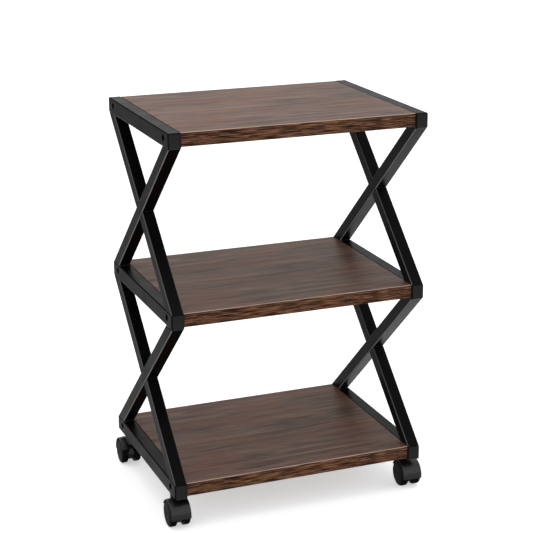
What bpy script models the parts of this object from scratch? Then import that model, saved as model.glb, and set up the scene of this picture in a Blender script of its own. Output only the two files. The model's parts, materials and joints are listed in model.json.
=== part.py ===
"""Mobile printer stand: two steel side frames, three boards and four swivelling twin-wheel castors.

Metres. X is the width, Y the depth with the front at -Y, and Z is up from the floor.
"""

import math

import bmesh
import bpy
from mathutils import Matrix, Vector

GAP = 0.0003
SMOOTH_ANGLE = math.radians(35)

# Overall layout
RAIL_CENTRE_X = 0.251
RAIL_HALF_DEPTH = 0.1925
TIER_PITCH = 0.347
CASTOR_HEIGHT = 0.066

# Rail section: taller than it is wide
RAIL_WIDTH = 0.025
RAIL_HEIGHT = 0.030
WALL = 0.0015
CORNER_RADIUS = 0.0022
CORNER_STEPS = 2

# Brace section: square, flush with the rails on both faces
BRACE_SIZE = 0.025
BRACE_SPAN = TIER_PITCH - RAIL_HEIGHT
BRACE_SOLVER_STEPS = 30
WELD_DEPTH = 0.0005

# Boards
BOARD_THICKNESS = 0.027
BOARD_HALF_DEPTH = 0.190
BOARD_HALF_WIDTH = RAIL_CENTRE_X - RAIL_WIDTH / 2 - GAP
BOARD_EDGE = 0.0008

# Screws that hold each board between the side frames
SCREW_Y = 0.1625
SCREW_DROP = 0.0126
SCREW_SIDES = 12
ACCESS_HOLE_RADIUS = 0.0065
ACCESS_HOLE_SIDES = 20
SCREW_HOLE_RADIUS = 0.0034
DRILL_START = 0.004
SCREW_HEAD_RADIUS = 0.005
SCREW_HEAD_HEIGHT = 0.005
SCREW_SHANK_RADIUS = 0.003
SCREW_LENGTH = 0.042
SCREW_POINT = 0.004
SOCKET_RADIUS = 0.0025
SOCKET_DEPTH = 0.003
BOARD_HOLE_RADIUS = SCREW_SHANK_RADIUS + GAP
BOARD_HOLE_DEPTH = 0.042
BOARD_HOLE_OVERSHOOT = 0.005

# Plugs in the rail ends
PLUG_FLANGE = 0.0012
PLUG_EDGE = 0.0005
PLUG_BODY = 0.012
PLUG_TAPER = 0.0006

# Castors
STEM_Y = 0.151
AXLE_OFFSET = 0.013
ROUND_SIDES = 16
WHEEL_RADIUS = 0.026
WHEEL_SIDES = 32
WHEEL_INNER_X = 0.0078
WHEEL_INNER_EASE = 0.0014
WHEEL_OUTER_X = 0.0210
# Outer shoulder of a wheel: how far below the rim, and how far in from the outer face
WHEEL_SHOULDER = ((0.0, 0.0036), (0.0008, 0.0018), (0.0026, 0.0007), (0.0160, 0.0))
HOOD_RADIUS = 0.030
HOOD_CLEARANCE_RADIUS = 0.0274
HOOD_HALF_WIDTH = 0.0205
HOOD_START = math.radians(-8)
HOOD_END = math.radians(155)
HOOD_STEPS = 22
WHEEL_ROOM_SIDES = 48
WEB_RADIUS = 0.020
WEB_HALF_WIDTH = 0.0070
WEB_STEPS = 12
BOSS_RADIUS = 0.0095
BOSS_SIDES = 20
BOSS_TOP = 0.0623
BOSS_BOTTOM = 0.030
STEM_BORE_RADIUS = 0.0048
STEM_BORE_BOTTOM = 0.036
STEM_RADIUS = 0.0045
THREAD_RADIUS = 0.005
THREAD_TOP = 0.081
THREAD_CHAMFER = 0.001
FLANGE_RADIUS = 0.0088
AXLE_RADIUS = 0.003
AXLE_BORE_RADIUS = 0.0034
AXLE_HALF_LENGTH = 0.0168
STEM_HOLE_RADIUS = 0.0054

SIDES = {"left": -1, "right": 1}
ENDS = {"front": -1, "rear": 1}
TIERS = ("bottom", "middle", "top")

FINISHES = {
    "coated_steel": ((0.030, 0.030, 0.032), 0.42, 0.0),
    "rustic_board": ((0.150, 0.083, 0.055), 0.55, 0.0),
    "plug_plastic": ((0.022, 0.022, 0.023), 0.50, 0.0),
    "castor_plastic": ((0.018, 0.018, 0.019), 0.40, 0.0),
    "wheel_plastic": ((0.024, 0.024, 0.025), 0.48, 0.0),
    "zinc": ((0.560, 0.565, 0.580), 0.35, 1.0),
    "black_zinc": ((0.040, 0.040, 0.045), 0.40, 1.0),
}


def clear_scene():
    for item in list(bpy.data.objects):
        bpy.data.objects.remove(item, do_unlink=True)


def finish(item, name):
    colour, roughness, metallic = FINISHES[name]
    material = bpy.data.materials.new(f"{item.name}_{name}")
    material.use_nodes = True
    shader = material.node_tree.nodes["Principled BSDF"]
    shader.inputs["Base Color"].default_value = (*colour, 1.0)
    shader.inputs["Roughness"].default_value = roughness
    shader.inputs["Metallic"].default_value = metallic
    item.data.materials.append(material)


def make_object(name, shape, material=None, smooth=False, parent=None):
    """Turns a bmesh into a named object whose faces point outwards."""
    bmesh.ops.recalc_face_normals(shape, faces=shape.faces)
    mesh = bpy.data.meshes.new(name)
    shape.to_mesh(mesh)
    shape.free()
    if smooth:
        mesh.shade_smooth()
        mesh.set_sharp_from_angle(angle=SMOOTH_ANGLE)
    item = bpy.data.objects.new(name, mesh)
    bpy.context.scene.collection.objects.link(item)
    item.parent = parent
    if material:
        finish(item, material)
    return item


def cut(item, cutter, operation="DIFFERENCE"):
    cutter.hide_render = True
    cutter.display_type = "WIRE"
    modifier = item.modifiers.new(cutter.name, "BOOLEAN")
    modifier.operation = operation
    modifier.solver = "EXACT"
    modifier.object = cutter


def rounded_rectangle(width, height, radius):
    """Corner arcs of a rectangle in the plane, anticlockwise."""
    points = []
    for quarter, (sx, sy) in enumerate(((1, 1), (-1, 1), (-1, -1), (1, -1))):
        centre = Vector((sx * (width / 2 - radius), sy * (height / 2 - radius)))
        for step in range(CORNER_STEPS + 1):
            angle = math.pi / 2 * (quarter + step / CORNER_STEPS)
            points.append(centre + radius * Vector((math.cos(angle), math.sin(angle))))
    return points


def add_loft(shape, rings, closed):
    """Skins a row of equal rings. A closed row meets its own start, and an open row is capped."""
    rows = [[shape.verts.new(point) for point in ring] for ring in rings]
    count = len(rows[0])
    pairs = list(zip(rows, rows[1:]))
    if closed:
        pairs.append((rows[-1], rows[0]))
    else:
        shape.faces.new(rows[0])
        shape.faces.new(rows[-1])
    for first, second in pairs:
        for index in range(count):
            after = (index + 1) % count
            shape.faces.new((first[index], first[after], second[after], second[index]))


def add_lathe(shape, profile, sides, placement, half_step=False):
    """Revolves (radius, height) points, from axis to axis, about the placement's Z."""
    phase = 0.5 if half_step else 0.0
    rows = []
    for radius, height in profile:
        if radius == 0:
            rows.append([shape.verts.new(placement @ Vector((0, 0, height)))])
            continue
        row = []
        for index in range(sides):
            angle = 2 * math.pi * (index + phase) / sides
            point = Vector((radius * math.cos(angle), radius * math.sin(angle), height))
            row.append(shape.verts.new(placement @ point))
        rows.append(row)
    for first, second in zip(rows, rows[1:]):
        for index in range(sides):
            after = (index + 1) % sides
            if len(first) == 1:
                shape.faces.new((first[0], second[after], second[index]))
            elif len(second) == 1:
                shape.faces.new((first[index], first[after], second[0]))
            else:
                shape.faces.new((first[index], first[after], second[after], second[index]))


def rod(radius, low, high):
    """Lathe profile of a plain solid cylinder."""
    return [(0, low), (radius, low), (radius, high), (0, high)]


def along_x(x, y, z, direction=1):
    """Placement whose local Z runs along X."""
    return Matrix.Translation((x, y, z)) @ Matrix.Rotation(direction * math.pi / 2, 4, "Y")


def tier_bottom(tier):
    """Height of the underside of a tier's rails."""
    return CASTOR_HEIGHT + TIERS.index(tier) * TIER_PITCH


def tier_top(tier):
    return tier_bottom(tier) + RAIL_HEIGHT


def make_tube(name, height, start, end):
    """Hollow tube running along local Y, with each end plane leaning by (offset, slope against local Z)."""
    shape = bmesh.new()
    inner_radius = CORNER_RADIUS - WALL
    sections = (
        rounded_rectangle(RAIL_WIDTH, height, CORNER_RADIUS),
        rounded_rectangle(RAIL_WIDTH - 2 * WALL, height - 2 * WALL, inner_radius),
    )
    rings = []
    for section, ends in ((sections[0], (start, end)), (sections[1], (end, start))):
        for offset, slope in ends:
            rings.append([Vector((p.x, offset + slope * p.y, p.y)) for p in section])
    add_loft(shape, rings, closed=True)
    return make_object(name, shape, "coated_steel")


def make_rail(side, tier):
    """Level rail with an access hole in its outer wall and a screw hole in its inner wall near each end."""
    name = f"rail_{tier}_{side}"
    rail = make_tube(name, RAIL_HEIGHT, (-RAIL_HALF_DEPTH, 0), (RAIL_HALF_DEPTH, 0))
    rail.location = (SIDES[side] * RAIL_CENTRE_X, 0, tier_bottom(tier) + RAIL_HEIGHT / 2)
    drill = bmesh.new()
    screw_z = RAIL_HEIGHT / 2 - SCREW_DROP
    for end in ENDS.values():
        outward = along_x(0, end * SCREW_Y, screw_z, SIDES[side])
        inward = along_x(0, end * SCREW_Y, screw_z, -SIDES[side])
        add_lathe(drill, rod(ACCESS_HOLE_RADIUS, DRILL_START, RAIL_WIDTH), ACCESS_HOLE_SIDES, outward)
        add_lathe(drill, rod(SCREW_HOLE_RADIUS, DRILL_START, RAIL_WIDTH), SCREW_SIDES, inward)
        if tier == "bottom":
            below = Matrix.Translation((0, end * STEM_Y, 0))
            add_lathe(drill, rod(STEM_HOLE_RADIUS, -RAIL_HEIGHT, -DRILL_START), ROUND_SIDES, below)
    cutter = make_object(f"{name}_drill", drill)
    cutter.location = rail.location
    cut(rail, cutter)


def brace_angle():
    """Slope of a brace that fills the bay corner to corner, solved for the length of its mitre."""
    angle = math.atan2(BRACE_SPAN, 2 * RAIL_HALF_DEPTH)
    for _ in range(BRACE_SOLVER_STEPS):
        run = 2 * RAIL_HALF_DEPTH - BRACE_SIZE / math.sin(angle)
        angle = math.atan2(BRACE_SPAN, run)
    return angle


def make_cross(side, bay):
    """Welded cross: one long brace from front top to rear bottom, and two halves that end on its sides."""
    angle = brace_angle()
    lower, upper = {"lower": ("bottom", "middle"), "upper": ("middle", "top")}[bay]
    centre_z = (tier_top(lower) + tier_bottom(upper)) / 2
    centre = Vector((SIDES[side] * RAIL_CENTRE_X, 0, centre_z))
    reach = (BRACE_SPAN / 2 - GAP) / math.sin(angle)
    lean = 1 / math.tan(angle)
    name = f"cross_{bay}_{side}"
    cross = make_tube(name, BRACE_SIZE, (-reach, lean), (reach, lean))
    cross.location = centre
    cross.rotation_euler = (-angle, 0, 0)

    near = (BRACE_SIZE / 2 - WELD_DEPTH) / math.sin(2 * angle)
    meet = 1 / math.tan(2 * angle)
    upper_half = make_tube(f"{name}_upper_half", BRACE_SIZE, (near, -meet), (reach, -lean))
    lower_half = make_tube(f"{name}_lower_half", BRACE_SIZE, (-reach, -lean), (-near, -meet))
    for half in (upper_half, lower_half):
        half.location = centre
        half.rotation_euler = (angle, 0, 0)
        cut(cross, half, "UNION")


def make_board(tier):
    """Shelf board with a blind screw hole near each end of both end faces."""
    shape = bmesh.new()
    width, depth = 2 * BOARD_HALF_WIDTH, 2 * BOARD_HALF_DEPTH
    size = Matrix.Diagonal((width, depth, BOARD_THICKNESS, 1))
    bmesh.ops.create_cube(shape, size=1, matrix=size)
    board = make_object(f"shelf_{tier}", shape, "rustic_board")
    board.location = (0, 0, tier_top(tier) - BOARD_THICKNESS / 2)
    bevel = board.modifiers.new("eased_edges", "BEVEL")
    bevel.width = BOARD_EDGE
    bevel.segments = 1
    drill = bmesh.new()
    screw_z = BOARD_THICKNESS / 2 - SCREW_DROP
    hole = rod(BOARD_HOLE_RADIUS, -BOARD_HOLE_OVERSHOOT, BOARD_HOLE_DEPTH)
    for side in SIDES.values():
        for end in ENDS.values():
            mouth = along_x(side * BOARD_HALF_WIDTH, end * SCREW_Y, screw_z, -side)
            add_lathe(drill, hole, SCREW_SIDES, mouth)
    cutter = make_object(f"shelf_{tier}_drill", drill)
    cutter.location = board.location
    cut(board, cutter)


def make_screw(side, tier, end):
    """Socket screw into a board end. Its head bears on the inside of the rail's inner wall."""
    shape = bmesh.new()
    profile = [
        (0, SCREW_HEAD_HEIGHT - SOCKET_DEPTH),
        (SOCKET_RADIUS, SCREW_HEAD_HEIGHT - SOCKET_DEPTH),
        (SOCKET_RADIUS, SCREW_HEAD_HEIGHT),
        (SCREW_HEAD_RADIUS, SCREW_HEAD_HEIGHT),
        (SCREW_HEAD_RADIUS, 0),
        (SCREW_SHANK_RADIUS, 0),
        (SCREW_SHANK_RADIUS, SCREW_POINT - SCREW_LENGTH),
        (0, -SCREW_LENGTH),
    ]
    add_lathe(shape, profile, SCREW_SIDES, along_x(0, 0, 0, SIDES[side]))
    screw = make_object(f"screw_{tier}_{side}_{end}", shape, "black_zinc", smooth=True)
    seat = RAIL_CENTRE_X - RAIL_WIDTH / 2 + WALL + GAP
    screw.location = (SIDES[side] * seat, ENDS[end] * SCREW_Y, tier_top(tier) - SCREW_DROP)


def make_plug(side, tier, end):
    """End plug: a thin flange over the tube end, and a tapered block inside the tube."""
    shape = bmesh.new()
    width, height = RAIL_WIDTH - 2 * GAP, RAIL_HEIGHT - 2 * GAP
    inner_width, inner_height = width - 2 * WALL, height - 2 * WALL
    inner_radius = CORNER_RADIUS - WALL
    sections = (
        (width - 2 * PLUG_EDGE, height - 2 * PLUG_EDGE, CORNER_RADIUS, PLUG_FLANGE),
        (width, height, CORNER_RADIUS, PLUG_FLANGE - PLUG_EDGE),
        (width, height, CORNER_RADIUS, 0),
        (inner_width, inner_height, inner_radius, 0),
        (inner_width - PLUG_TAPER, inner_height - PLUG_TAPER, inner_radius, -PLUG_BODY),
    )
    rings = []
    for wide, high, radius, reach in sections:
        outline = rounded_rectangle(wide, high, radius)
        rings.append([Vector((p.x, ENDS[end] * reach, p.y)) for p in outline])
    add_loft(shape, rings, closed=False)
    plug = make_object(f"plug_{tier}_{side}_{end}", shape, "plug_plastic")
    seat = ENDS[end] * (RAIL_HALF_DEPTH + GAP)
    plug.location = (SIDES[side] * RAIL_CENTRE_X, seat, tier_bottom(tier) + RAIL_HEIGHT / 2)


def hood_outline():
    """Side view of the castor body about its axle: a hood, and a smaller round web below it."""
    outline = []
    for step in range(HOOD_STEPS + 1):
        angle = HOOD_START + (HOOD_END - HOOD_START) * step / HOOD_STEPS
        outline.append((HOOD_RADIUS * math.cos(angle), HOOD_RADIUS * math.sin(angle)))
    for step in range(WEB_STEPS + 1):
        angle = HOOD_END + (HOOD_START + 2 * math.pi - HOOD_END) * step / WEB_STEPS
        outline.append((WEB_RADIUS * math.cos(angle), WEB_RADIUS * math.sin(angle)))
    return outline


def make_castor_body(name, swivel):
    """Hood, web and stem boss in one moulding, with room for a wheel on each side of the web."""
    hood = bmesh.new()
    rings = []
    for x in (-HOOD_HALF_WIDTH, HOOD_HALF_WIDTH):
        rings.append([Vector((x, -AXLE_OFFSET - y, WHEEL_RADIUS + z)) for y, z in hood_outline()])
    add_loft(hood, rings, closed=False)
    body = make_object(name, hood, "castor_plastic", smooth=True, parent=swivel)

    boss = bmesh.new()
    add_lathe(boss, rod(BOSS_RADIUS, BOSS_BOTTOM, BOSS_TOP), BOSS_SIDES, Matrix.Identity(4))
    cut(body, make_object(f"{name}_boss", boss, parent=swivel), "UNION")

    wheel_room = bmesh.new()
    for direction in (-1, 1):
        placement = along_x(0, -AXLE_OFFSET, WHEEL_RADIUS, direction)
        room = rod(HOOD_CLEARANCE_RADIUS, WEB_HALF_WIDTH, 2 * HOOD_HALF_WIDTH)
        add_lathe(wheel_room, room, WHEEL_ROOM_SIDES, placement)
    cut(body, make_object(f"{name}_wheel_room", wheel_room, parent=swivel))

    bores = bmesh.new()
    stem_bore = rod(STEM_BORE_RADIUS, STEM_BORE_BOTTOM, CASTOR_HEIGHT)
    add_lathe(bores, stem_bore, ROUND_SIDES, Matrix.Identity(4))
    axle_bore = rod(AXLE_RADIUS + GAP, -2 * WEB_HALF_WIDTH, 2 * WEB_HALF_WIDTH)
    add_lathe(bores, axle_bore, ROUND_SIDES, along_x(0, -AXLE_OFFSET, WHEEL_RADIUS))
    cut(body, make_object(f"{name}_bores", bores, parent=swivel))


def make_stem(name, place):
    """Fixed stem: a plain journal in the boss, a flange under the rail, and a thread into the rail."""
    shape = bmesh.new()
    profile = [
        (0, STEM_BORE_BOTTOM + GAP),
        (STEM_RADIUS, STEM_BORE_BOTTOM + GAP),
        (STEM_RADIUS, BOSS_TOP + GAP),
        (FLANGE_RADIUS, BOSS_TOP + GAP),
        (FLANGE_RADIUS, CASTOR_HEIGHT - GAP),
        (THREAD_RADIUS, CASTOR_HEIGHT - GAP),
        (THREAD_RADIUS, THREAD_TOP - THREAD_CHAMFER),
        (THREAD_RADIUS - THREAD_CHAMFER, THREAD_TOP),
        (0, THREAD_TOP),
    ]
    add_lathe(shape, profile, ROUND_SIDES, Matrix.Identity(4))
    stem = make_object(name, shape, "black_zinc", smooth=True)
    stem.location = place


def make_axle(name, swivel):
    shape = bmesh.new()
    pin = rod(AXLE_RADIUS, -AXLE_HALF_LENGTH, AXLE_HALF_LENGTH)
    add_lathe(shape, pin, ROUND_SIDES, along_x(0, 0, 0))
    axle = make_object(name, shape, "zinc", smooth=True, parent=swivel)
    axle.location = (0, -AXLE_OFFSET, WHEEL_RADIUS)


def make_wheel(name, swivel, direction):
    """Solid wheel with a blind bore. One of its flats is level, under the axle."""
    shape = bmesh.new()
    rim = WHEEL_RADIUS / math.cos(math.pi / WHEEL_SIDES)
    profile = [
        (0, AXLE_HALF_LENGTH + GAP),
        (AXLE_BORE_RADIUS, AXLE_HALF_LENGTH + GAP),
        (AXLE_BORE_RADIUS, WHEEL_INNER_X),
        (rim - WHEEL_INNER_EASE, WHEEL_INNER_X),
        (rim, WHEEL_INNER_X + WHEEL_INNER_EASE),
    ]
    profile += [(rim - drop, WHEEL_OUTER_X - inset) for drop, inset in WHEEL_SHOULDER]
    profile.append((0, WHEEL_OUTER_X))
    add_lathe(shape, profile, WHEEL_SIDES, along_x(0, 0, 0, direction), half_step=True)
    wheel = make_object(name, shape, "wheel_plastic", smooth=True, parent=swivel)
    wheel.location = (0, -AXLE_OFFSET, WHEEL_RADIUS)


def make_castor(side, end):
    """Castor with its axle ahead of its stem at the front, and behind it at the rear."""
    corner = f"{end}_{side}"
    place = (SIDES[side] * RAIL_CENTRE_X, ENDS[end] * STEM_Y, 0)
    make_stem(f"castor_stem_{corner}", place)
    swivel = bpy.data.objects.new(f"swivel_{corner}", None)
    bpy.context.scene.collection.objects.link(swivel)
    swivel.location = place
    swivel.rotation_euler = (0, 0, math.pi if end == "rear" else 0)
    make_castor_body(f"castor_body_{corner}", swivel)
    make_axle(f"castor_axle_{corner}", swivel)
    outward = SIDES[side] * -ENDS[end]
    make_wheel(f"wheel_{corner}_outer", swivel, outward)
    make_wheel(f"wheel_{corner}_inner", swivel, -outward)


def build():
    clear_scene()
    for tier in TIERS:
        make_board(tier)
    for side in SIDES:
        for tier in TIERS:
            make_rail(side, tier)
            for end in ENDS:
                make_plug(side, tier, end)
                make_screw(side, tier, end)
        make_cross(side, "lower")
        make_cross(side, "upper")
        for end in ENDS:
            make_castor(side, end)


build()
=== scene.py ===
"""Looks of the mobile printer stand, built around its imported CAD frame. Metres, front at -Y, +Z up."""

import json
import math

import bmesh
import bpy
from mathutils import Matrix, Vector


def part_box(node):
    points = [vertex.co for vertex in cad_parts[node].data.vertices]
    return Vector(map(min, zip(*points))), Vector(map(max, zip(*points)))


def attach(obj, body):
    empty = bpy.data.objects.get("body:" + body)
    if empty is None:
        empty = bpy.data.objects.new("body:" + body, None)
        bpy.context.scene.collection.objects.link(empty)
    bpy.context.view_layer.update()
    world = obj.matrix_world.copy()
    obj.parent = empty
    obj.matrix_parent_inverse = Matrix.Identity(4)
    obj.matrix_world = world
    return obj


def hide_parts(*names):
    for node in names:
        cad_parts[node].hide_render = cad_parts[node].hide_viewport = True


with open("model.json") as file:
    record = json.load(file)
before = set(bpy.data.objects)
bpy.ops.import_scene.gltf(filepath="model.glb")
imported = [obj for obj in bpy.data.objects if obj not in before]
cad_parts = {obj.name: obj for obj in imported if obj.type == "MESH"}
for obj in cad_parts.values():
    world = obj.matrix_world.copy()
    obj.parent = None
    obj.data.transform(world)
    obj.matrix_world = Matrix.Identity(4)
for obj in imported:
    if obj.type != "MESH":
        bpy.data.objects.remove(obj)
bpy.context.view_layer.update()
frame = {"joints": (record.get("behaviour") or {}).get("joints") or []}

SIDES = {"left": -1, "right": 1}
ENDS = {"front": -1, "rear": 1}
TIERS = ("bottom", "middle", "top")
BAYS = {"lower": ("bottom", "middle"), "upper": ("middle", "top")}

GAP = 0.0003

# Tube of the side frames
WALL = 0.0015
CORNER_RADIUS = 0.0022
CORNER_STEPS = 7
BRACE_SIZE = 0.025
ACCESS_HOLE_RADIUS = 0.0065
ACCESS_HOLE_CHAMFER = 0.0003
SCREW_HOLE_RADIUS = 0.0034
RAIL_HALF_DEPTH = 0.1925
SEAM_WIDTH = 0.0045
SEAM_GAP = 0.0011
STEM_HOLE_RADIUS = 0.0054
BEAD_RADIUS = 0.0017
BEAD_RIPPLES = 11

# Boards
BAND_THICKNESS = 0.0014
BOARD_HOLE_DEPTH = 0.042

# Plugs in the tube ends
PLUG_FLANGE = 0.0012
PLUG_EDGE = 0.0009
# The next width is that of the painted shade round each plug's cap.
PLUG_SHADE_WIDTH = 0.0024
PLUG_RIB_DEPTH = 0.0007
PLUG_RIBS = 4

# Castors, about a swivel axis at the origin with the axle towards -Y
WHEEL_INNER_X = 0.0078
HOOD_RADIUS = 0.030
HOOD_CROWN = 0.0010
HOOD_EDGE = 0.0014
HOOD_INSIDE = 0.0275
HOOD_HALF_WIDTH = 0.0205
HOOD_START = math.radians(-8)
HOOD_END = math.radians(155)
WEB_RADIUS = 0.020
WEB_HALF_WIDTH = 0.0070
BOSS_RADIUS = 0.0095
BOSS_BOTTOM = 0.030
STEM_BORE_RADIUS = 0.0048
STEM_BORE_BOTTOM = 0.036

ROUND = 64

# Studio, with the camera's angles in degrees
CAMERA_PLACE = (-1.1102, -2.8147, 1.3801)
CAMERA_TILT = 16.024
CAMERA_TURN = -22.113
CAMERA_LENS = 104.78
CAMERA_SHIFT = (-0.0253, -0.0497)
FLOOR_GLOW = 0.47
SKY = (
    (-1.0, 0.12), (-0.6, 0.16), (-0.42, 0.86), (-0.35, 0.73), (-0.25, 0.46), (-0.1, 0.50),
    (0.1, 0.85), (0.28, 1.25), (0.5, 1.05), (0.8, 0.80), (1.0, 0.80),
)


# ---------------------------------------------------------------- materials


class Look:
    """A material being made, with short names for the nodes that it is wired from."""

    def __init__(self, name, **constants):
        self.material = bpy.data.materials.new(name)
        self.material.use_nodes = True
        self.tree = self.material.node_tree
        self.shader = self.tree.nodes["Principled BSDF"]
        coordinates = self.tree.nodes.new("ShaderNodeTexCoord")
        self.place = coordinates.outputs["Object"]
        self.normal = coordinates.outputs["Normal"]
        self.world_normal = self.tree.nodes.new("ShaderNodeNewGeometry").outputs["Normal"]
        for socket, value in constants.items():
            self.shader.inputs[socket.replace("_", " ")].default_value = value

    def put(self, node, socket, value):
        if isinstance(value, bpy.types.NodeSocket):
            self.tree.links.new(value, node.inputs[socket])
        else:
            node.inputs[socket].default_value = value

    def stretched(self, stretch, offset=(0, 0, 0)):
        """Object coordinates scaled along each axis."""
        node = self.tree.nodes.new("ShaderNodeMapping")
        self.put(node, "Vector", self.place)
        self.put(node, "Scale", stretch)
        self.put(node, "Location", offset)
        return node.outputs["Vector"]

    def noise(self, stretch, detail=3.0, roughness=0.55, distortion=0.0, offset=(0, 0, 0)):
        """Noise with about this many cells to the metre along each axis."""
        node = self.tree.nodes.new("ShaderNodeTexNoise")
        self.put(node, "Vector", self.stretched(stretch, offset))
        self.put(node, "Scale", 1.0)
        self.put(node, "Detail", detail)
        self.put(node, "Roughness", roughness)
        self.put(node, "Distortion", distortion)
        return node.outputs["Fac"]

    def cells(self, stretch, offset=(0, 0, 0)):
        """Distance to the nearest of a scatter of points."""
        node = self.tree.nodes.new("ShaderNodeTexVoronoi")
        self.put(node, "Vector", self.stretched(stretch, offset))
        self.put(node, "Scale", 1.0)
        return node.outputs["Distance"]

    def spread(self, value, low, high, to_low=0.0, to_high=1.0):
        """Maps low..high to another range, smoothly and with its ends held."""
        node = self.tree.nodes.new("ShaderNodeMapRange")
        node.interpolation_type = "SMOOTHSTEP"
        for socket, number in zip(("Value", "From Min", "From Max"), (value, low, high)):
            self.put(node, socket, number)
        self.put(node, "To Min", to_low)
        self.put(node, "To Max", to_high)
        return node.outputs["Result"]

    def sum(self, operation, first, second):
        node = self.tree.nodes.new("ShaderNodeMath")
        node.operation = operation
        self.put(node, 0, first)
        self.put(node, 1, second)
        return node.outputs["Value"]

    def axis(self, name, vector=None):
        node = self.tree.nodes.new("ShaderNodeSeparateXYZ")
        self.put(node, "Vector", vector or self.place)
        return node.outputs[name]

    def mix(self, share, first, second):
        """Blends two colours."""
        node = self.tree.nodes.new("ShaderNodeMix")
        node.data_type = "RGBA"
        for index, value in ((0, share), (6, first), (7, second)):
            if isinstance(value, tuple):
                value = (*value, 1.0)
            self.put(node, index, value)
        return node.outputs[2]

    def bump(self, height, depth, under=None):
        """Relief of this depth in metres, laid over another."""
        node = self.tree.nodes.new("ShaderNodeBump")
        self.put(node, "Height", height)
        self.put(node, "Strength", 1.0)
        self.put(node, "Distance", depth)
        if under:
            self.put(node, "Normal", under)
        return node.outputs["Normal"]

    def finish(self, colour, roughness, normal):
        self.put(self.shader, "Base Color", colour)
        self.put(self.shader, "Roughness", roughness)
        self.put(self.shader, "Normal", normal)
        return self.material


def steel_look(name, seam=None):
    """Satin black powder coat. Tube corners get a painted highlight, full where they face down and weaker
    where they face up;
    rails get none on upward-facing corners and have painted shade there and beside the plugs. The seam is
    where, along Y, a rail ends."""
    look = Look(name, Specular_IOR_Level=0.05)
    clouds = look.noise((14, 14, 14), detail=4)
    peel = look.noise((900, 900, 900), detail=2)
    grit = look.noise((3200, 3200, 3200), detail=1)
    specks = look.spread(look.cells((260, 260, 260)), 0.06, 0.02)
    slant = look.sum("MULTIPLY", look.axis("X", look.normal), look.axis("Z", look.normal))
    turn = look.sum("ABSOLUTE", slant, 0.0)
    # Painted highlight: tube corners made paler in colour, full where they face down, none on upward-facing
    # rail corners.
    painted_edge_highlight = look.sum("MULTIPLY", look.spread(turn, 0.16, 0.44), look.spread(peel, 0.25, 0.6, 0.6, 1.0))
    kept = 0.0 if seam else 0.3
    facing_up = look.axis("Z", look.world_normal)
    painted_edge_highlight = look.sum("MULTIPLY", painted_edge_highlight, look.spread(facing_up, 0.5, -0.1, kept, 1.0))
    coat = look.mix(look.spread(clouds, 0.35, 0.7), (0.0020, 0.0019, 0.0020), (0.0034, 0.0032, 0.0033))
    coat = look.mix(painted_edge_highlight, coat, (0.33, 0.325, 0.325))
    colour = look.mix(look.sum("MULTIPLY", specks, 0.35), coat, (0.030, 0.028, 0.027))
    dimples = look.spread(peel, 0.3, 0.7, -0.03, 0.03)
    shine = look.sum("ADD", look.spread(clouds, 0.3, 0.7, 0.34, 0.42), dimples)
    if seam:
        # Painted shade: rail darkened in colour beside the plugs and along its upward-facing corners.
        along = look.sum("ABSOLUTE", look.axis("Y"), 0.0)
        painted_shade = look.spread(along, seam - SEAM_WIDTH, seam - SEAM_WIDTH / 3)
        upward = look.spread(facing_up, 0.05, 0.25)
        painted_shade = look.sum("MAXIMUM", painted_shade, look.sum("MULTIPLY", look.spread(turn, 0.10, 0.30), upward))
        colour = look.mix(painted_shade, colour, (0.0012, 0.0011, 0.0010))
        shine = look.sum("ADD", shine, look.sum("MULTIPLY", painted_shade, 0.5))
    relief = look.bump(grit, 0.00002, look.bump(peel, 0.00006))
    return look.finish(colour, shine, relief)


def wood_layers(look, across, seed):
    """Grain along X. Across is the axis, of Y and Z, that the fibres are spread over."""
    def laid(along, over, through):
        return (along, over, through) if across == "Y" else (along, through, over)

    broad = look.noise(laid(3.2, 34, 34), detail=4, roughness=0.6, distortion=0.8, offset=(seed, 0, 0))
    streak = look.noise(laid(11, 190, 190), detail=5, roughness=0.62, distortion=0.5, offset=(0, seed, 0))
    fibre = look.noise(laid(42, 1300, 1300), detail=3, roughness=0.6, offset=(0, 0, seed))
    pores = look.noise(laid(70, 950, 950), detail=2, roughness=0.5, offset=(seed, seed, 0))
    return broad, streak, fibre, look.spread(pores, 0.63, 0.74)


def face_look():
    """Rustic laminate on the flat faces: greyed brown bands, with reddish patches, fibres and pores."""
    look = Look("board_face", Specular_IOR_Level=0.09)
    broad, streak, fibre, pores = wood_layers(look, "Y", 3.7)
    bands = look.noise((4.5, 50, 50), detail=4, roughness=0.60, distortion=1.0, offset=(5, 0, 2))
    warm = look.noise((5, 15, 15), detail=3, distortion=1.2, offset=(9, 2, 0))
    ground = look.mix(look.spread(broad, 0.34, 0.66), (0.072, 0.0350, 0.0225), (0.180, 0.098, 0.068))
    ground = look.mix(look.spread(bands, 0.50, 0.64, 0.0, 0.60), ground, (0.235, 0.144, 0.104))
    ground = look.mix(look.spread(bands, 0.47, 0.35, 0.0, 0.50), ground, (0.040, 0.0195, 0.0135))
    ground = look.mix(look.spread(warm, 0.50, 0.66, 0.0, 0.75), ground, (0.170, 0.066, 0.033))
    ground = look.mix(look.spread(streak, 0.45, 0.70, 0.0, 0.30), ground, (0.240, 0.155, 0.115))
    ground = look.mix(look.spread(fibre, 0.30, 0.72, 0.30, 0.0), ground, (0.014, 0.0085, 0.0070))
    colour = look.mix(look.sum("MULTIPLY", pores, 0.6), ground, (0.010, 0.006, 0.005))
    shine = look.spread(streak, 0.3, 0.7, 0.48, 0.38)
    relief = look.bump(pores, -0.00005, look.bump(fibre, 0.00005))
    return look.finish(colour, shine, relief)


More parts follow.
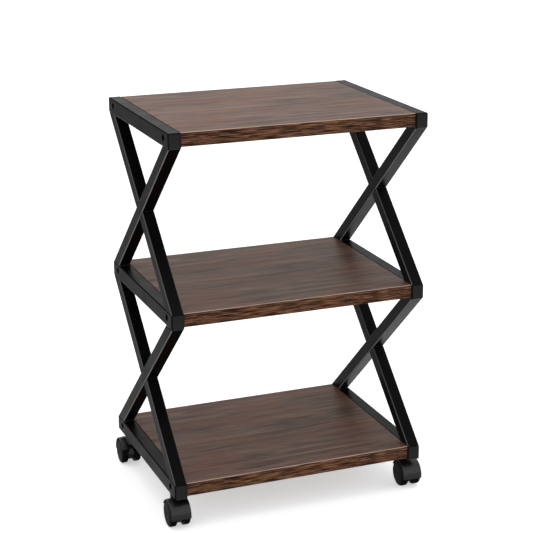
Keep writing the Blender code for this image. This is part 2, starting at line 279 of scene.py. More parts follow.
def band_look():
    """Edge band: the same wood, redder, with fine strong streaks and a painted highlight along its upper
    arris.
    """
    look = Look("board_band", Specular_IOR_Level=0.10)
    broad, streak, fibre, pores = wood_layers(look, "Z", 8.1)
    lines = look.noise((24, 820, 820), detail=3, roughness=0.60, offset=(4, 1, 7))
    gold = look.noise((9, 70, 70), detail=3, distortion=0.8, offset=(2, 8, 3))
    ground = look.mix(look.spread(broad, 0.38, 0.62), (0.050, 0.0205, 0.0110), (0.115, 0.049, 0.0245))
    ground = look.mix(look.spread(gold, 0.54, 0.68, 0.0, 0.6), ground, (0.240, 0.110, 0.040))
    ground = look.mix(look.spread(lines, 0.51, 0.60, 0.0, 1.0), ground, (0.360, 0.165, 0.087))
    ground = look.mix(look.spread(lines, 0.49, 0.40, 0.0, 1.0), ground, (0.0120, 0.0050, 0.0035))
    ground = look.mix(look.spread(streak, 0.52, 0.66, 0.0, 0.35), ground, (0.020, 0.0085, 0.0060))
    ground = look.mix(look.spread(fibre, 0.30, 0.72, 0.3, 0.0), ground, (0.015, 0.0070, 0.0050))
    ground = look.mix(look.sum("MULTIPLY", pores, 0.5), ground, (0.009, 0.005, 0.004))
    # Painted highlight: the band's upward-facing upper arris is made much paler in colour.
    wear_and_painted_highlight = look.spread(look.axis("Z", look.normal), 0.30, 0.70)
    wear_and_painted_highlight = look.sum("MULTIPLY", wear_and_painted_highlight, look.spread(streak, 0.30, 0.60, 0.6, 1.0))
    colour = look.mix(wear_and_painted_highlight, ground, (0.58, 0.44, 0.37))
    shine = look.spread(lines, 0.3, 0.7, 0.52, 0.40)
    relief = look.bump(pores, -0.00005, look.bump(fibre, 0.00006))
    return look.finish(colour, shine, relief)


def core_look():
    """Raw chipboard inside the screw holes and behind the edge bands."""
    look = Look("board_core", Specular_IOR_Level=0.2)
    chips = look.cells((420, 420, 420))
    dust = look.noise((1500, 1500, 1500), detail=2)
    ground = look.mix(look.spread(chips, 0.1, 0.6), (0.30, 0.20, 0.11), (0.17, 0.10, 0.05))
    colour = look.mix(look.spread(dust, 0.4, 0.7, 0.0, 0.6), ground, (0.38, 0.28, 0.17))
    return look.finish(colour, look.spread(dust, 0.3, 0.7, 0.8, 0.95), look.bump(chips, 0.0003))


def moulded_look(name, dark, light, gloss, grain, specular):
    """Moulded black plastic: a fine eroded grain, uneven sheen and light scuffs."""
    look = Look(name, Specular_IOR_Level=specular)
    clouds = look.noise((35, 35, 35), detail=4)
    erosion = look.noise((grain, grain, grain), detail=2)
    scuffs = look.noise((60, 60, 900), detail=3, distortion=0.6)
    colour = look.mix(look.spread(clouds, 0.3, 0.7), dark, light)
    colour = look.mix(look.spread(scuffs, 0.66, 0.80, 0.0, 0.35), colour, tuple(4 * c for c in light))
    wear_and_painted_highlight = look.spread(scuffs, 0.6, 0.8, 0, 0.1)
    shine = look.sum("ADD", look.spread(clouds, 0.3, 0.7, gloss, gloss + 0.08), wear_and_painted_highlight)
    return look.finish(colour, shine, look.bump(erosion, 0.00004))


def plug_look():
    """Satin black plastic plug, with painted shade on its sides and round its cap, and a painted highlight on
    its lower rim.
    """
    look = Look("plug_plastic", Specular_IOR_Level=0.28)
    low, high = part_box("plug_top_left_front")
    half = (high - low) / 2
    clouds = look.noise((35, 35, 35), detail=4)
    erosion = look.noise((2400, 2400, 2400), detail=2)
    # Painted shade: the plug's sideways faces and a band round its cap are darkened in colour.
    facing = look.sum("ABSOLUTE", look.axis("Y", look.normal), 0.0)
    sideways = look.spread(look.sum("ABSOLUTE", look.axis("X", look.normal), 0.0), 0.10, 0.35)
    lower = look.spread(look.axis("Z", look.normal), -0.05, -0.25)
    from_middle = look.sum("ABSOLUTE", look.axis("X"), 0.0)
    across = look.spread(from_middle, half.x - PLUG_SHADE_WIDTH, half.x - PLUG_SHADE_WIDTH / 2)
    above = look.spread(look.axis("Z"), half.z - PLUG_SHADE_WIDTH, half.z - PLUG_SHADE_WIDTH / 2)
    painted_shade = look.sum("MAXIMUM", look.sum("MAXIMUM", across, above), look.spread(facing, 0.35, 0.10))
    colour = look.mix(look.spread(clouds, 0.3, 0.7), (0.0080, 0.0080, 0.0082), (0.0125, 0.0125, 0.0127))
    # Painted highlight: the plug's downward-facing lower rim is made paler in colour.
    painted_edge_highlight = look.sum("MULTIPLY", lower, look.spread(clouds, 0.3, 0.6, 0.6, 1.0))
    colour = look.mix(painted_edge_highlight, colour, (0.130, 0.130, 0.130))
    colour = look.mix(look.sum("MAXIMUM", sideways, painted_shade), colour, (0.0015, 0.0015, 0.0015))
    shine = look.sum("ADD", look.spread(clouds, 0.3, 0.7, 0.42, 0.50), look.sum("MULTIPLY", painted_shade, 0.4))
    return look.finish(colour, shine, look.bump(erosion, 0.00004))


def wheel_look():
    """Black nylon wheel, its tread greyed by floor dust."""
    look = Look("wheel_nylon", Specular_IOR_Level=0.03)
    squares = [look.sum("POWER", look.axis(name), 2.0) for name in ("Y", "Z")]
    radius = look.sum("SQRT", look.sum("ADD", *squares), 0.0)
    tread = look.spread(radius, 0.0240, 0.0259)
    dust = look.noise((220, 220, 220), detail=5, roughness=0.7)
    grain = look.noise((2600, 2600, 2600), detail=2)
    body = look.mix(look.spread(dust, 0.35, 0.65), (0.0025, 0.0025, 0.0026), (0.0045, 0.0045, 0.0046))
    wear_and_painted_highlight = look.sum("MULTIPLY", tread, look.spread(dust, 0.45, 0.75, 0.0, 0.5))
    colour = look.mix(wear_and_painted_highlight, body, (0.030, 0.028, 0.026))
    shine = look.sum("ADD", look.spread(dust, 0.3, 0.7, 0.34, 0.44), look.sum("MULTIPLY", tread, 0.12))
    return look.finish(colour, shine, look.bump(grain, 0.00003))


def plated_look(name, dark, light, low, high):
    """Zinc plate: bright or blackened, with mottled crystals and fine turning marks."""
    look = Look(name, Metallic=1.0)
    crystals = look.cells((500, 500, 500))
    marks = look.noise((300, 300, 4200), detail=2)
    colour = look.mix(look.spread(crystals, 0.1, 0.7), dark, light)
    return look.finish(colour, look.spread(marks, 0.3, 0.7, low, high), look.bump(marks, 0.00001))


def floor_look():
    """Pale studio floor, matt and slightly uneven, with a little light of its own to soften shadows."""
    white = (1, 1, 1, 1)
    look = Look("studio_floor", Specular_IOR_Level=0.0, Emission_Color=white, Emission_Strength=FLOOR_GLOW)
    drift = look.noise((0.7, 0.7, 0.7), detail=3)
    colour = look.mix(look.spread(drift, 0.3, 0.7), (0.865, 0.865, 0.868), (0.885, 0.885, 0.886))
    return look.finish(colour, look.spread(drift, 0.3, 0.7, 0.85, 0.95), look.bump(drift, 0.0001))


LOOKS = {
    "steel": steel_look("coated_steel"),
    "rail": steel_look("coated_steel_rail", RAIL_HALF_DEPTH),
    "face": face_look(),
    "band": band_look(),
    "core": core_look(),
    "plug": plug_look(),
    "castor": moulded_look(
        "castor_plastic", (0.0032, 0.0032, 0.0034), (0.0052, 0.0052, 0.0054), 0.28, 3000, 0.55
    ),
    "wheel": wheel_look(),
    "zinc": plated_look("zinc_plate", (0.42, 0.42, 0.43), (0.62, 0.62, 0.64), 0.25, 0.42),
    "black_zinc": plated_look("black_zinc_plate", (0.030, 0.030, 0.032), (0.055, 0.055, 0.058), 0.30, 0.45),
}


# ------------------------------------------------------------------- shapes


def rounded_rectangle(width, height, radius, steps=CORNER_STEPS):
    """Corner arcs of a rectangle in the plane, anticlockwise."""
    points = []
    for quarter, (sx, sy) in enumerate(((1, 1), (-1, 1), (-1, -1), (1, -1))):
        centre = Vector((sx * (width / 2 - radius), sy * (height / 2 - radius)))
        for step in range(steps + 1):
            angle = math.pi / 2 * (quarter + step / steps)
            points.append(centre + radius * Vector((math.cos(angle), math.sin(angle))))
    return points


def loft(shape, rings, closed=False):
    """Skins a row of equal rings. A closed row joins its last ring to its first. An open row is capped."""
    rows = [[shape.verts.new(point) for point in ring] for ring in rings]
    pairs = list(zip(rows, rows[1:]))
    if closed:
        pairs.append((rows[-1], rows[0]))
    else:
        shape.faces.new(rows[0])
        shape.faces.new(rows[-1])
    for first, second in pairs:
        for index in range(len(first)):
            after = (index + 1) % len(first)
            shape.faces.new((first[index], first[after], second[after], second[index]))


def lathe(shape, profile, placement=Matrix.Identity(4), sides=ROUND):
    """Revolves (radius, height) points about the placement's Z. The profile starts and ends on the axis."""
    rows = []
    for radius, height in profile:
        if radius == 0:
            rows.append([shape.verts.new(placement @ Vector((0, 0, height)))])
            continue
        row = []
        for index in range(sides):
            angle = 2 * math.pi * index / sides
            point = Vector((radius * math.cos(angle), radius * math.sin(angle), height))
            row.append(shape.verts.new(placement @ point))
        rows.append(row)
    for first, second in zip(rows, rows[1:]):
        for index in range(sides):
            after = (index + 1) % sides
            if len(first) == 1:
                shape.faces.new((first[0], second[after], second[index]))
            elif len(second) == 1:
                shape.faces.new((first[index], first[after], second[0]))
            else:
                shape.faces.new((first[index], first[after], second[after], second[index]))


def rod(radius, low, high):
    return [(0, low), (radius, low), (radius, high), (0, high)]


def arc(centre, radius, start, end, steps):
    """Points along an arc in the plane, angles in degrees."""
    points = []
    for step in range(steps + 1):
        angle = math.radians(start + (end - start) * step / steps)
        points.append((centre[0] + radius * math.cos(angle), centre[1] + radius * math.sin(angle)))
    return points


def along_x(x, y, z, direction=1):
    """Placement whose local Z runs along X."""
    return Matrix.Translation((x, y, z)) @ Matrix.Rotation(direction * math.pi / 2, 4, "Y")


def mesh_from(shape, name):
    bmesh.ops.recalc_face_normals(shape, faces=shape.faces)
    mesh = bpy.data.meshes.new(name)
    shape.to_mesh(mesh)
    shape.free()
    return mesh


def carve(mesh, tools):
    """Joins or cuts a mesh with others in turn. Tools are (operation, mesh) pairs."""
    item = bpy.data.objects.new("carved", mesh)
    bpy.context.scene.collection.objects.link(item)
    cutters = []
    for operation, tool in tools:
        cutter = bpy.data.objects.new("cutter", tool)
        bpy.context.scene.collection.objects.link(cutter)
        cutters.append(cutter)
        modifier = item.modifiers.new("cut", "BOOLEAN")
        modifier.operation = operation
        modifier.solver = "EXACT"
        modifier.object = cutter
    graph = bpy.context.evaluated_depsgraph_get()
    graph.update()
    result = bpy.data.meshes.new_from_object(item.evaluated_get(graph))
    result.name = mesh.name
    for used in (item, *cutters):
        bpy.data.objects.remove(used)
    return result


def place(name, mesh, looks, body, matrix=Matrix.Identity(4), nodes=(), sharp=32):
    """Makes a mesh into a piece that rides on a body and stands for CAD nodes."""
    if not mesh.materials:
        for look in looks:
            mesh.materials.append(LOOKS[look])
        mesh.shade_smooth()
        mesh.set_sharp_from_angle(angle=math.radians(sharp))
    item = bpy.data.objects.new(name, mesh)
    bpy.context.scene.collection.objects.link(item)
    item.matrix_world = matrix
    level = item.modifiers.new("level_faces", "WEIGHTED_NORMAL")
    level.keep_sharp = True
    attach(item, body)
    if nodes:
        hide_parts(*nodes)
    return item


def middle(node):
    low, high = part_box(node)
    return (low + high) / 2


# -------------------------------------------------------------- side frames


def tube(width, height, start, end):
    """Hollow tube along local Y, with each end plane leaning by (offset, slope against local Z)."""
    shape = bmesh.new()
    sections = (
        rounded_rectangle(width, height, CORNER_RADIUS),
        rounded_rectangle(width - 2 * WALL, height - 2 * WALL, CORNER_RADIUS - WALL),
    )
    rings = []
    for section, ends in ((sections[0], (start, end)), (sections[1], (end, start))):
        for offset, slope in ends:
            rings.append([Vector((p.x, offset + slope * p.y, p.y)) for p in section])
    loft(shape, rings, closed=True)
    return mesh_from(shape, "tube")


def make_rail(side, tier):
    """Rail with chamfered access holes in its outer wall and screw holes in its inner wall."""
    node = f"rail_{tier}_{side}"
    low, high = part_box(node)
    size = high - low
    centre = (low + high) / 2
    drill = bmesh.new()
    for end in ENDS:
        screw = middle(f"screw_{tier}_{side}_{end}") - centre
        outward = along_x(0, screw.y, screw.z, SIDES[side])
        inward = along_x(0, screw.y, screw.z, -SIDES[side])
        face = size.x / 2
        access = [
            (0, 0.004),
            (ACCESS_HOLE_RADIUS, 0.004),
            (ACCESS_HOLE_RADIUS, face - ACCESS_HOLE_CHAMFER),
            (ACCESS_HOLE_RADIUS + 2 * ACCESS_HOLE_CHAMFER, face + ACCESS_HOLE_CHAMFER),
            (0, face + ACCESS_HOLE_CHAMFER),
        ]
        lathe(drill, access, outward, 48)
        lathe(drill, rod(SCREW_HOLE_RADIUS, 0.004, size.x), inward, 32)
        if tier == "bottom":
            stem = middle(f"castor_stem_{end}_{side}") - centre
            below = Matrix.Translation((stem.x, stem.y, 0))
            lathe(drill, rod(STEM_HOLE_RADIUS, -size.z, -0.004), below, 48)
    blank = tube(size.x, size.z, (low.y + SEAM_GAP, 0), (high.y - SEAM_GAP, 0))
    mesh = carve(blank, [("DIFFERENCE", mesh_from(drill, "drill"))])
    place(f"tube_{tier}_{side}", mesh, ["rail"], "frame", Matrix.Translation(centre), [node])


def brace_angle(span, depth):
    """Slope of a brace that fills a bay from corner to corner, solved for the length of its mitred end."""
    angle = math.atan2(span, depth)
    for _ in range(30):
        angle = math.atan2(span, depth - BRACE_SIZE / math.sin(angle))
    return angle


def bead(shape, corner, first, second, width):
    """Weld bead along X that fills the corner between two faces, given by their directions from it."""
    rings = []
    steps = 8 * BEAD_RIPPLES
    start = math.atan2(first.z, first.y)
    turn = math.atan2(second.z, second.y) - start
    turn = (turn + math.pi) % (2 * math.pi) - math.pi
    reach = BEAD_RADIUS / math.tan(abs(turn) / 2)
    for step in range(steps + 1):
        share = step / steps
        swell = 1 + 0.10 * abs(math.sin(math.pi * BEAD_RIPPLES * share))
        fade = min(1.0, 6 * share + 0.35, 6 * (1 - share) + 0.35)
        x = (share - 0.5) * width
        ring = [corner + Vector((x, 0, 0))]
        for point in range(7):
            angle = start + turn * point / 6
            dip = 0.78 + 0.22 * abs(2 * point / 6 - 1)
            radius = reach * dip * swell * fade
            ring.append(corner + Vector((x, radius * math.cos(angle), radius * math.sin(angle))))
        rings.append(ring)
    loft(shape, rings)


def make_cross(side, bay):
    """Crossed braces of one bay: one long tube, and two halves welded to its sides."""
    node = f"cross_{bay}_{side}"
    lower, upper = BAYS[bay]
    floor_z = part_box(f"rail_{lower}_{side}")[1].z
    roof_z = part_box(f"rail_{upper}_{side}")[0].z
    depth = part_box(f"rail_{lower}_{side}")[1].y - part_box(f"rail_{lower}_{side}")[0].y
    span = roof_z - floor_z
    centre = middle(node)
    angle = brace_angle(span, depth)
    reach = (span / 2 - GAP) / math.sin(angle)
    lean = 1 / math.tan(angle)
    near = (BRACE_SIZE / 2 + GAP / 3) / math.sin(2 * angle)
    meet = 1 / math.tan(2 * angle)
    width = BRACE_SIZE
    parts = {
        "long": (-angle, (-reach, lean), (reach, lean)),
        "top_half": (angle, (near, -meet), (reach, -lean)),
        "low_half": (angle, (-reach, -lean), (-near, -meet)),
    }
    for part, (tilt, start, end) in parts.items():
        matrix = Matrix.Translation(centre) @ Matrix.Rotation(tilt, 4, "X")
        mesh = tube(width, width, start, end)
        place(f"brace_{part}_{bay}_{side}", mesh, ["steel"], "frame", matrix, [node])

    shape = bmesh.new()
    bead_width = BRACE_SIZE - 2 * CORNER_RADIUS
    inset = depth / 2 - BRACE_SIZE / math.sin(angle)
    for front in (-1, 1):
        slope = Vector((0, -front * math.cos(angle), math.sin(angle)))
        for level in (-1, 1):
            corner = Vector((0, front * inset, level * (span / 2 - GAP / 2)))
            up = Vector((slope.x, slope.y, -level * slope.z))
            bead(shape, corner, Vector((0, -front, 0)), up, bead_width)
    side_reach = BRACE_SIZE / 2 / math.sin(2 * angle)
    long_way = Vector((0, math.cos(angle), -math.sin(angle)))
    half_way = Vector((0, math.cos(angle), math.sin(angle)))
    for along_long in (-1, 1):
        for along_half in (-1, 1):
            corner = 2 * side_reach * (along_long * long_way + along_half * half_way) / 2
            corner *= BRACE_SIZE / 2 / (side_reach * math.sin(2 * angle))
            bead(shape, corner, along_long * long_way, along_half * half_way, bead_width)
    matrix = Matrix.Translation(centre)
    welds = mesh_from(shape, "welds")
    place(f"welds_{bay}_{side}", welds, ["steel"], "frame", matrix, sharp=50)


def make_plug(side, tier, end):
    """End plug: a softly rounded flange over the tube end, and a ribbed block inside the tube."""
    node = f"plug_{tier}_{side}_{end}"
    low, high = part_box(node)
    size = high - low
    out = ENDS[end]
    face = low.y if out < 0 else high.y
    seat = face - out * PLUG_FLANGE
    body = size.y - PLUG_FLANGE
    rows = []
    for point in arc((-PLUG_EDGE, PLUG_FLANGE - PLUG_EDGE), PLUG_EDGE, 90, 0, 6):
        rows.append((-2 * point[0] if point[0] < 0 else 0.0, point[1]))
    rows.append((0.0, 0.0))
    inset = 2 * (WALL + GAP / 2)
    rows.append((inset, 0.0))
    pitch = body / PLUG_RIBS
    for rib in range(PLUG_RIBS):
        top = -pitch * rib
        rows.append((inset, top - 0.0010))
        rows.append((inset + 2 * PLUG_RIB_DEPTH, top - 0.0014))
        rows.append((inset + 2 * PLUG_RIB_DEPTH, top - pitch + 0.0004))
        rows.append((inset + 0.0006, top - pitch))
    shape = bmesh.new()
    rings = []
    for shrink, reach in rows:
        radius = max(CORNER_RADIUS - shrink / 2, 0.0006)
        outline = rounded_rectangle(size.x - shrink, size.z - shrink, radius)
        rings.append([Vector((p.x, out * reach, p.y)) for p in outline])
    loft(shape, rings)
    matrix = Matrix.Translation(((low.x + high.x) / 2, seat, (low.z + high.z) / 2))
    name = f"end_plug_{tier}_{side}_{end}"
    place(name, mesh_from(shape, name), ["plug"], "frame", matrix, [node])


# -------------------------------------------------------------------- boards


def board_core(size, holes):
    """Laminated core: flat faces, chipboard ends, and blind screw holes in the ends."""
    shape = bmesh.new()
    half = Vector((size.x / 2, size.y / 2 - BAND_THICKNESS, size.z / 2))
    bmesh.ops.create_cube(shape, size=2, matrix=Matrix.Diagonal((*half, 1)))
    mesh = mesh_from(shape, "board_core")
    drill = bmesh.new()
    for hole in holes:
        way = 1 if hole.x < 0 else -1
        mouth = along_x(-way * half.x, hole.y, hole.z, way)
        lathe(drill, rod(0.0033, -0.005, BOARD_HOLE_DEPTH), mouth, 32)
    mesh = carve(mesh, [("DIFFERENCE", mesh_from(drill, "drill"))])
    for look in ("face", "band", "core"):
        mesh.materials.append(LOOKS[look])
    for polygon in mesh.polygons:
        if abs(abs(polygon.center.z) - half.z) < GAP:
            polygon.material_index = 0
        elif abs(polygon.normal.x) > 0.9 and abs(abs(polygon.center.x) - half.x) < GAP:
            polygon.material_index = 1
        else:
            polygon.material_index = 2
    return mesh


def board_band(length, thickness, out):
    """Edge band with both long arrises rounded."""
    outline = [(0.0, thickness / 2), (0.0, -thickness / 2)]
    edge = BAND_THICKNESS
    outline += arc((0.0, -thickness / 2 + edge), edge, -90, 0, 5)[1:]
    outline += arc((0.0, thickness / 2 - edge), edge, 0, 90, 5)[:-1]
    shape = bmesh.new()
    rings = [[Vector((x, out * y, z)) for y, z in outline] for x in (-length / 2, length / 2)]
    loft(shape, rings)
    return mesh_from(shape, "board_band")


def make_board(tier):
    node = f"shelf_{tier}"
    low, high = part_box(node)
    size = high - low
    centre = (low + high) / 2
    holes = []
    for side in SIDES:
        for end in ENDS:
            holes.append(middle(f"screw_{tier}_{side}_{end}") - centre)
    matrix = Matrix.Translation(centre)
    core = board_core(size, holes)
    place(f"board_{tier}", core, [], "frame", matrix, [node])
    for end, out in ENDS.items():
        seat = Matrix.Translation(centre + Vector((0, out * (size.y / 2 - BAND_THICKNESS), 0)))
        band = board_band(size.x, size.z, out)
        place(f"edge_band_{tier}_{end}", band, ["band"], "frame", seat)


# ------------------------------------------------------------------ fixings


def thread(radius, low, high, pitch):
    """Profile of a screw thread, as a row of ridges."""
    points = []
    count = int((high - low) / pitch)
    for turn in range(count):
        start = low + turn * pitch
        points.append((radius - 0.32 * pitch, start + 0.1 * pitch))
        points.append((radius, start + 0.45 * pitch))
        points.append((radius, start + 0.6 * pitch))
        points.append((radius - 0.32 * pitch, start + 0.95 * pitch))
    return points


def screw_mesh():
    """Socket screw along local Z, its head's seat at the origin and its point at the bottom."""
    shape = bmesh.new()
    profile = [(0, -0.042), (0.0012, -0.0405)]
    profile += thread(0.003, -0.0385, -0.008, 0.0013)
    profile += [(0.0028, -0.0075), (0.0028, 0.0), (0.0046, 0.0), (0.005, 0.0003)]
    profile += [(0.005, 0.0044), (0.0044, 0.005), (0, 0.005)]
    lathe(shape, profile, sides=32)
    head = mesh_from(shape, "socket_screw")
    socket = bmesh.new()
    lathe(socket, rod(0.0029, 0.002, 0.006), sides=6)
    return carve(head, [("DIFFERENCE", mesh_from(socket, "socket"))])


def make_screws():
    mesh = screw_mesh()
    for tier in TIERS:
        for side in SIDES:
            for end in ENDS:
                node = f"screw_{tier}_{side}_{end}"
                low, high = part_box(node)
                centre = (low + high) / 2
                seat = high.x - 0.005 if SIDES[side] > 0 else low.x + 0.005
                matrix = along_x(seat, centre.y, centre.z, SIDES[side])
                name = f"socket_screw_{tier}_{side}_{end}"
                place(name, mesh, ["black_zinc"], "frame", matrix, [node])


# ------------------------------------------------------------------ castors


def hood_section():
    """Outline across the hood as (x, radius): a crowned shell, thickened in the middle to meet the web."""
    flat = HOOD_HALF_WIDTH - HOOD_EDGE
    edge_radius = HOOD_RADIUS - HOOD_CROWN
    outline = [(HOOD_HALF_WIDTH, HOOD_INSIDE)]
    outline += arc((flat, edge_radius - HOOD_EDGE), HOOD_EDGE, 0, 90, 5)
    steps = 12
    for step in range(1, steps):
        x = flat * (1 - 2 * step / steps)
        outline.append((x, HOOD_RADIUS - HOOD_CROWN * (x / flat) ** 2))
    outline += arc((-flat, edge_radius - HOOD_EDGE), HOOD_EDGE, 90, 180, 5)
    outline.append((-HOOD_HALF_WIDTH, HOOD_INSIDE))
    fillet = 0.0015
    outline += arc((-WEB_HALF_WIDTH - fillet, HOOD_INSIDE - fillet), fillet, 90, 0, 4)
    outline.append((-WEB_HALF_WIDTH, WEB_RADIUS - 0.001))
    outline.append((WEB_HALF_WIDTH, WEB_RADIUS - 0.001))
    outline += arc((WEB_HALF_WIDTH + fillet, HOOD_INSIDE - fillet), fillet, 180, 90, 4)
    return outline


def castor_body_mesh(axle, top):
    """Hood, web between the wheels and stem boss, as one moulding.

    Known fault: the cut for the wheels trims the boss on one side of the web only, so that on the other
    side the boss stands into the back of a wheel.
    """
    shape = bmesh.new()
    rings = []
    steps = 44
    section = hood_section()
    for step in range(steps + 1):
        angle = HOOD_START + (HOOD_END - HOOD_START) * step / steps
        ring = []
        for x, radius in section:
            ring.append(axle + Vector((x, -radius * math.cos(angle), radius * math.sin(angle))))
        rings.append(ring)
    loft(shape, rings)
    hood = mesh_from(shape, "castor_hood")

    web = bmesh.new()
    bevel = 0.0006
    web_profile = [
        (0, -WEB_HALF_WIDTH),
        (WEB_RADIUS - bevel, -WEB_HALF_WIDTH),
        (WEB_RADIUS, -WEB_HALF_WIDTH + bevel),
        (WEB_RADIUS, WEB_HALF_WIDTH - bevel),
        (WEB_RADIUS - bevel, WEB_HALF_WIDTH),
        (0, WEB_HALF_WIDTH),
    ]
    lathe(web, web_profile, along_x(*axle), 96)

    boss = bmesh.new()
    boss_profile = [(0, BOSS_BOTTOM), (BOSS_RADIUS, BOSS_BOTTOM)]
    boss_profile += [(BOSS_RADIUS, top - 0.0026), (BOSS_RADIUS - 0.0007, top - 0.0020)]
    boss_profile += [(BOSS_RADIUS - 0.0007, top - 0.0005), (BOSS_RADIUS - 0.0012, top), (0, top)]
    lathe(boss, boss_profile, Matrix.Identity(4), 64)

    room = bmesh.new()
    for way in (-1, 1):
        lathe(room, rod(HOOD_INSIDE - 0.0001, WEB_HALF_WIDTH, 0.04), along_x(*axle, way), 128)
    bores = bmesh.new()
    lathe(bores, rod(STEM_BORE_RADIUS, STEM_BORE_BOTTOM, top + 0.01), Matrix.Identity(4), 32)
    lathe(bores, rod(0.0033, -0.02, 0.02), along_x(*axle), 32)
    return carve(hood, [
        ("UNION", mesh_from(web, "web")),
        ("UNION", mesh_from(boss, "boss")),
        ("DIFFERENCE", mesh_from(room, "room")),
        ("DIFFERENCE", mesh_from(bores, "bores")),
    ])


def wheel_mesh(radius, inner, outer):
    """Wheel along local Z: a plain tread, a rounded shoulder, a grooved and domed face, and a hollow back."""
    profile = [(0, 0.0171), (0.0034, 0.0171), (0.0034, inner + 0.0003), (0.0037, inner)]
    profile += [(0.0080, inner), (0.0084, inner + 0.0004), (0.0086, 0.0138)]
    profile += [(0.0212, 0.0138), (0.0216, inner + 0.0005), (0.0220, inner)]
    profile += arc((radius - 0.0012, inner + 0.0012), 0.0012, -90, 0, 5)
    shoulder = 0.0034
    profile += arc((radius - shoulder, outer - 0.0006 - shoulder), shoulder, 0, 80, 9)
    rim = radius - 0.0036
    profile += [(rim, outer - 0.0007), (rim - 0.0003, outer - 0.0013), (rim - 0.0008, outer - 0.0013)]
    profile += [(rim - 0.0011, outer - 0.0006)]
    for step in range(1, 6):
        share = step / 6
        profile.append((rim - 0.0011 - share * 0.0095, outer - 0.0006 * (1 - share) ** 2))
    hub = 0.0112
    profile += [(hub, outer), (hub - 0.0003, outer - 0.0006), (hub - 0.0009, outer - 0.0006)]
    profile += [(hub - 0.0012, outer - 0.0001), (0.0040, outer)]
    profile += [(0.0034, outer - 0.0004), (0, outer - 0.0005)]
    shape = bmesh.new()
    lathe(shape, profile, sides=128)
    return mesh_from(shape, "castor_wheel")


def stem_mesh(low, high, flange_low, flange_high, flange_radius):
    """Fixed stem: a grooved journal, a flange under the rail, and a thread above it."""
    shape = bmesh.new()
    profile = [(0, low), (0.0039, low), (0.0045, low + 0.0006), (0.0045, low + 0.0030)]
    profile += [(0.0038, low + 0.0033), (0.0038, low + 0.0045), (0.0045, low + 0.0048)]
    profile += [(0.0045, flange_low), (flange_radius - 0.0004, flange_low)]
    profile += [(flange_radius, flange_low + 0.0004), (flange_radius, flange_high - 0.0004)]
    profile += [(flange_radius - 0.0004, flange_high), (0.0043, flange_high)]
    profile += thread(0.005, flange_high + 0.0002, high - 0.0010, 0.0015)
    profile += [(0.0040, high), (0, high)]
    lathe(shape, profile, sides=48)
    return mesh_from(shape, "castor_stem")


def axle_mesh(half):
    shape = bmesh.new()
    edge = 0.0004
    profile = [(0, -half), (0.003 - edge, -half), (0.003, edge - half)]
    profile += [(0.003, half - edge), (0.003 - edge, half), (0, half)]
    lathe(shape, profile, sides=32)
    return mesh_from(shape, "castor_axle")


def make_castors():
    """Four castors that share their meshes. Those at the rear face backwards."""
    swivels = {joint["name"]: Vector(joint["pos_m"]) for joint in frame["joints"]}
    sample = "front_left"
    swivel = swivels[f"swivel_{sample}"]
    hub = swivels[f"spin_{sample}_outer"]
    axle = Vector((0, hub.y - swivel.y, hub.z))
    wheel_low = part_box(f"wheel_{sample}_outer")[0]
    body_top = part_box(f"castor_body_{sample}")[1].z
    stem_low, stem_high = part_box(f"castor_stem_{sample}")
    axle_low, axle_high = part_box(f"castor_axle_{sample}")
    rail_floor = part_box("rail_bottom_left")[0].z
    flange = (stem_high.x - stem_low.x) / 2
    meshes = {
        "body": castor_body_mesh(axle, body_top),
        "wheel": wheel_mesh(hub.z, WHEEL_INNER_X, swivel.x - wheel_low.x),
        "stem": stem_mesh(stem_low.z, stem_high.z, body_top + GAP, rail_floor - GAP, flange),
        "axle": axle_mesh((axle_high.x - axle_low.x) / 2),
    }
    for end, way in ENDS.items():
        for side in SIDES:
            corner = f"{end}_{side}"
            centre = swivels[f"swivel_{corner}"]
            turned = Matrix.Translation((centre.x, centre.y, 0))
            turned = turned @ Matrix.Rotation(math.pi if way > 0 else 0, 4, "Z")
            across = turned @ along_x(*axle)
            body = f"castor_{corner}"
            node = f"castor_body_{corner}"
            place(f"hood_{corner}", meshes["body"], ["castor"], body, turned, [node])
            node = f"castor_stem_{corner}"
            place(f"stem_{corner}", meshes["stem"], ["black_zinc"], "frame", turned, [node])
            node = f"castor_axle_{corner}"
            place(f"axle_{corner}", meshes["axle"], ["zinc"], body, across, [node])
            for which in ("outer", "inner"):
                node = f"wheel_{corner}_{which}"
                direction = 1 if middle(node).x > centre.x else -1
                matrix = Matrix.Translation(swivels[f"spin_{corner}_{which}"])
                matrix @= Matrix.Rotation(direction * math.pi / 2, 4, "Y")
                name = f"disc_{corner}_{which}"
                place(name, meshes["wheel"], ["wheel"], node, matrix, [node])


# ------------------------------------------------------------------- studio


def make_floor():
    shape = bmesh.new()
    bmesh.ops.create_grid(shape, x_segments=8, y_segments=8, size=40)
    mesh = mesh_from(shape, "studio_floor")
    mesh.materials.append(floor_look())
    floor = bpy.data.objects.new("studio_floor", mesh)
    floor.visible_diffuse = False
    floor.visible_glossy = False
    floor.visible_shadow = False
    bpy.context.scene.collection.objects.link(floor)


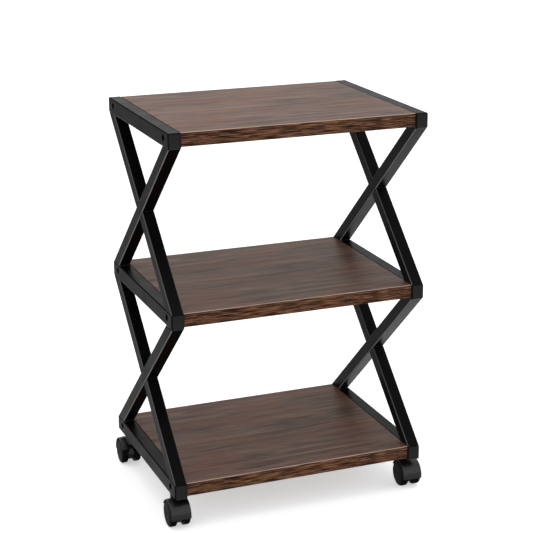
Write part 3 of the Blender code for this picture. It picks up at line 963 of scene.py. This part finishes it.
def make_world():
    """Even white surroundings whose brightness follows the height of the direction looked in."""
    world = bpy.data.worlds.new("studio")
    world.use_nodes = True
    tree = world.node_tree
    background = tree.nodes["Background"]
    place_node = tree.nodes.new("ShaderNodeTexCoord")
    split = tree.nodes.new("ShaderNodeSeparateXYZ")
    lift = tree.nodes.new("ShaderNodeMapRange")
    ramp = tree.nodes.new("ShaderNodeValToRGB")
    tree.links.new(place_node.outputs["Generated"], split.inputs["Vector"])
    tree.links.new(split.outputs["Z"], lift.inputs["Value"])
    lift.inputs["From Min"].default_value = -1.0
    tree.links.new(lift.outputs["Result"], ramp.inputs["Fac"])
    stops = ramp.color_ramp.elements
    while len(stops) < len(SKY):
        stops.new(0.5)
    for stop, (height, level) in zip(stops, SKY):
        stop.position = (height + 1) / 2
        stop.color = (level, level, level, 1.0)
    tree.links.new(ramp.outputs["Color"], background.inputs["Color"])
    bpy.context.scene.world = world


def make_light(name, size, power, position, target):
    data = bpy.data.lights.new(name, "AREA")
    data.shape = "SQUARE"
    data.size = size
    data.energy = power
    light = bpy.data.objects.new(name, data)
    light.location = position
    light.rotation_euler = (Vector(target) - Vector(position)).to_track_quat("-Z", "Y").to_euler()
    light.visible_camera = False
    bpy.context.scene.collection.objects.link(light)
    return light


def make_camera():
    """Camera a little above the stand, turned to its left front corner."""
    data = bpy.data.cameras.new("camera")
    data.sensor_width = 36.0
    data.lens = CAMERA_LENS
    data.shift_x, data.shift_y = CAMERA_SHIFT
    data.clip_start = 0.1
    data.clip_end = 200.0
    camera = bpy.data.objects.new("camera", data)
    camera.location = CAMERA_PLACE
    camera.rotation_euler = (math.radians(90 - CAMERA_TILT), 0.0, math.radians(CAMERA_TURN))
    bpy.context.scene.collection.objects.link(camera)
    bpy.context.scene.camera = camera


def build():
    for tier in TIERS:
        make_board(tier)
        for side in SIDES:
            make_rail(side, tier)
            for end in ENDS:
                make_plug(side, tier, end)
    for side in SIDES:
        for bay in BAYS:
            make_cross(side, bay)
    make_screws()
    make_castors()
    make_floor()
    make_world()
    make_light("overhead", 2.4, 15, (-0.3, -0.4, 3.2), (0, 0, 0.3))
    sheen = make_light("floor_sheen", 1.6, 15, (1.10, 0.6, 0.001), (1.10, 0.6, 1.0))
    sheen.visible_diffuse = False
    make_camera()
    bpy.context.scene.view_settings.view_transform = "Standard"


build()
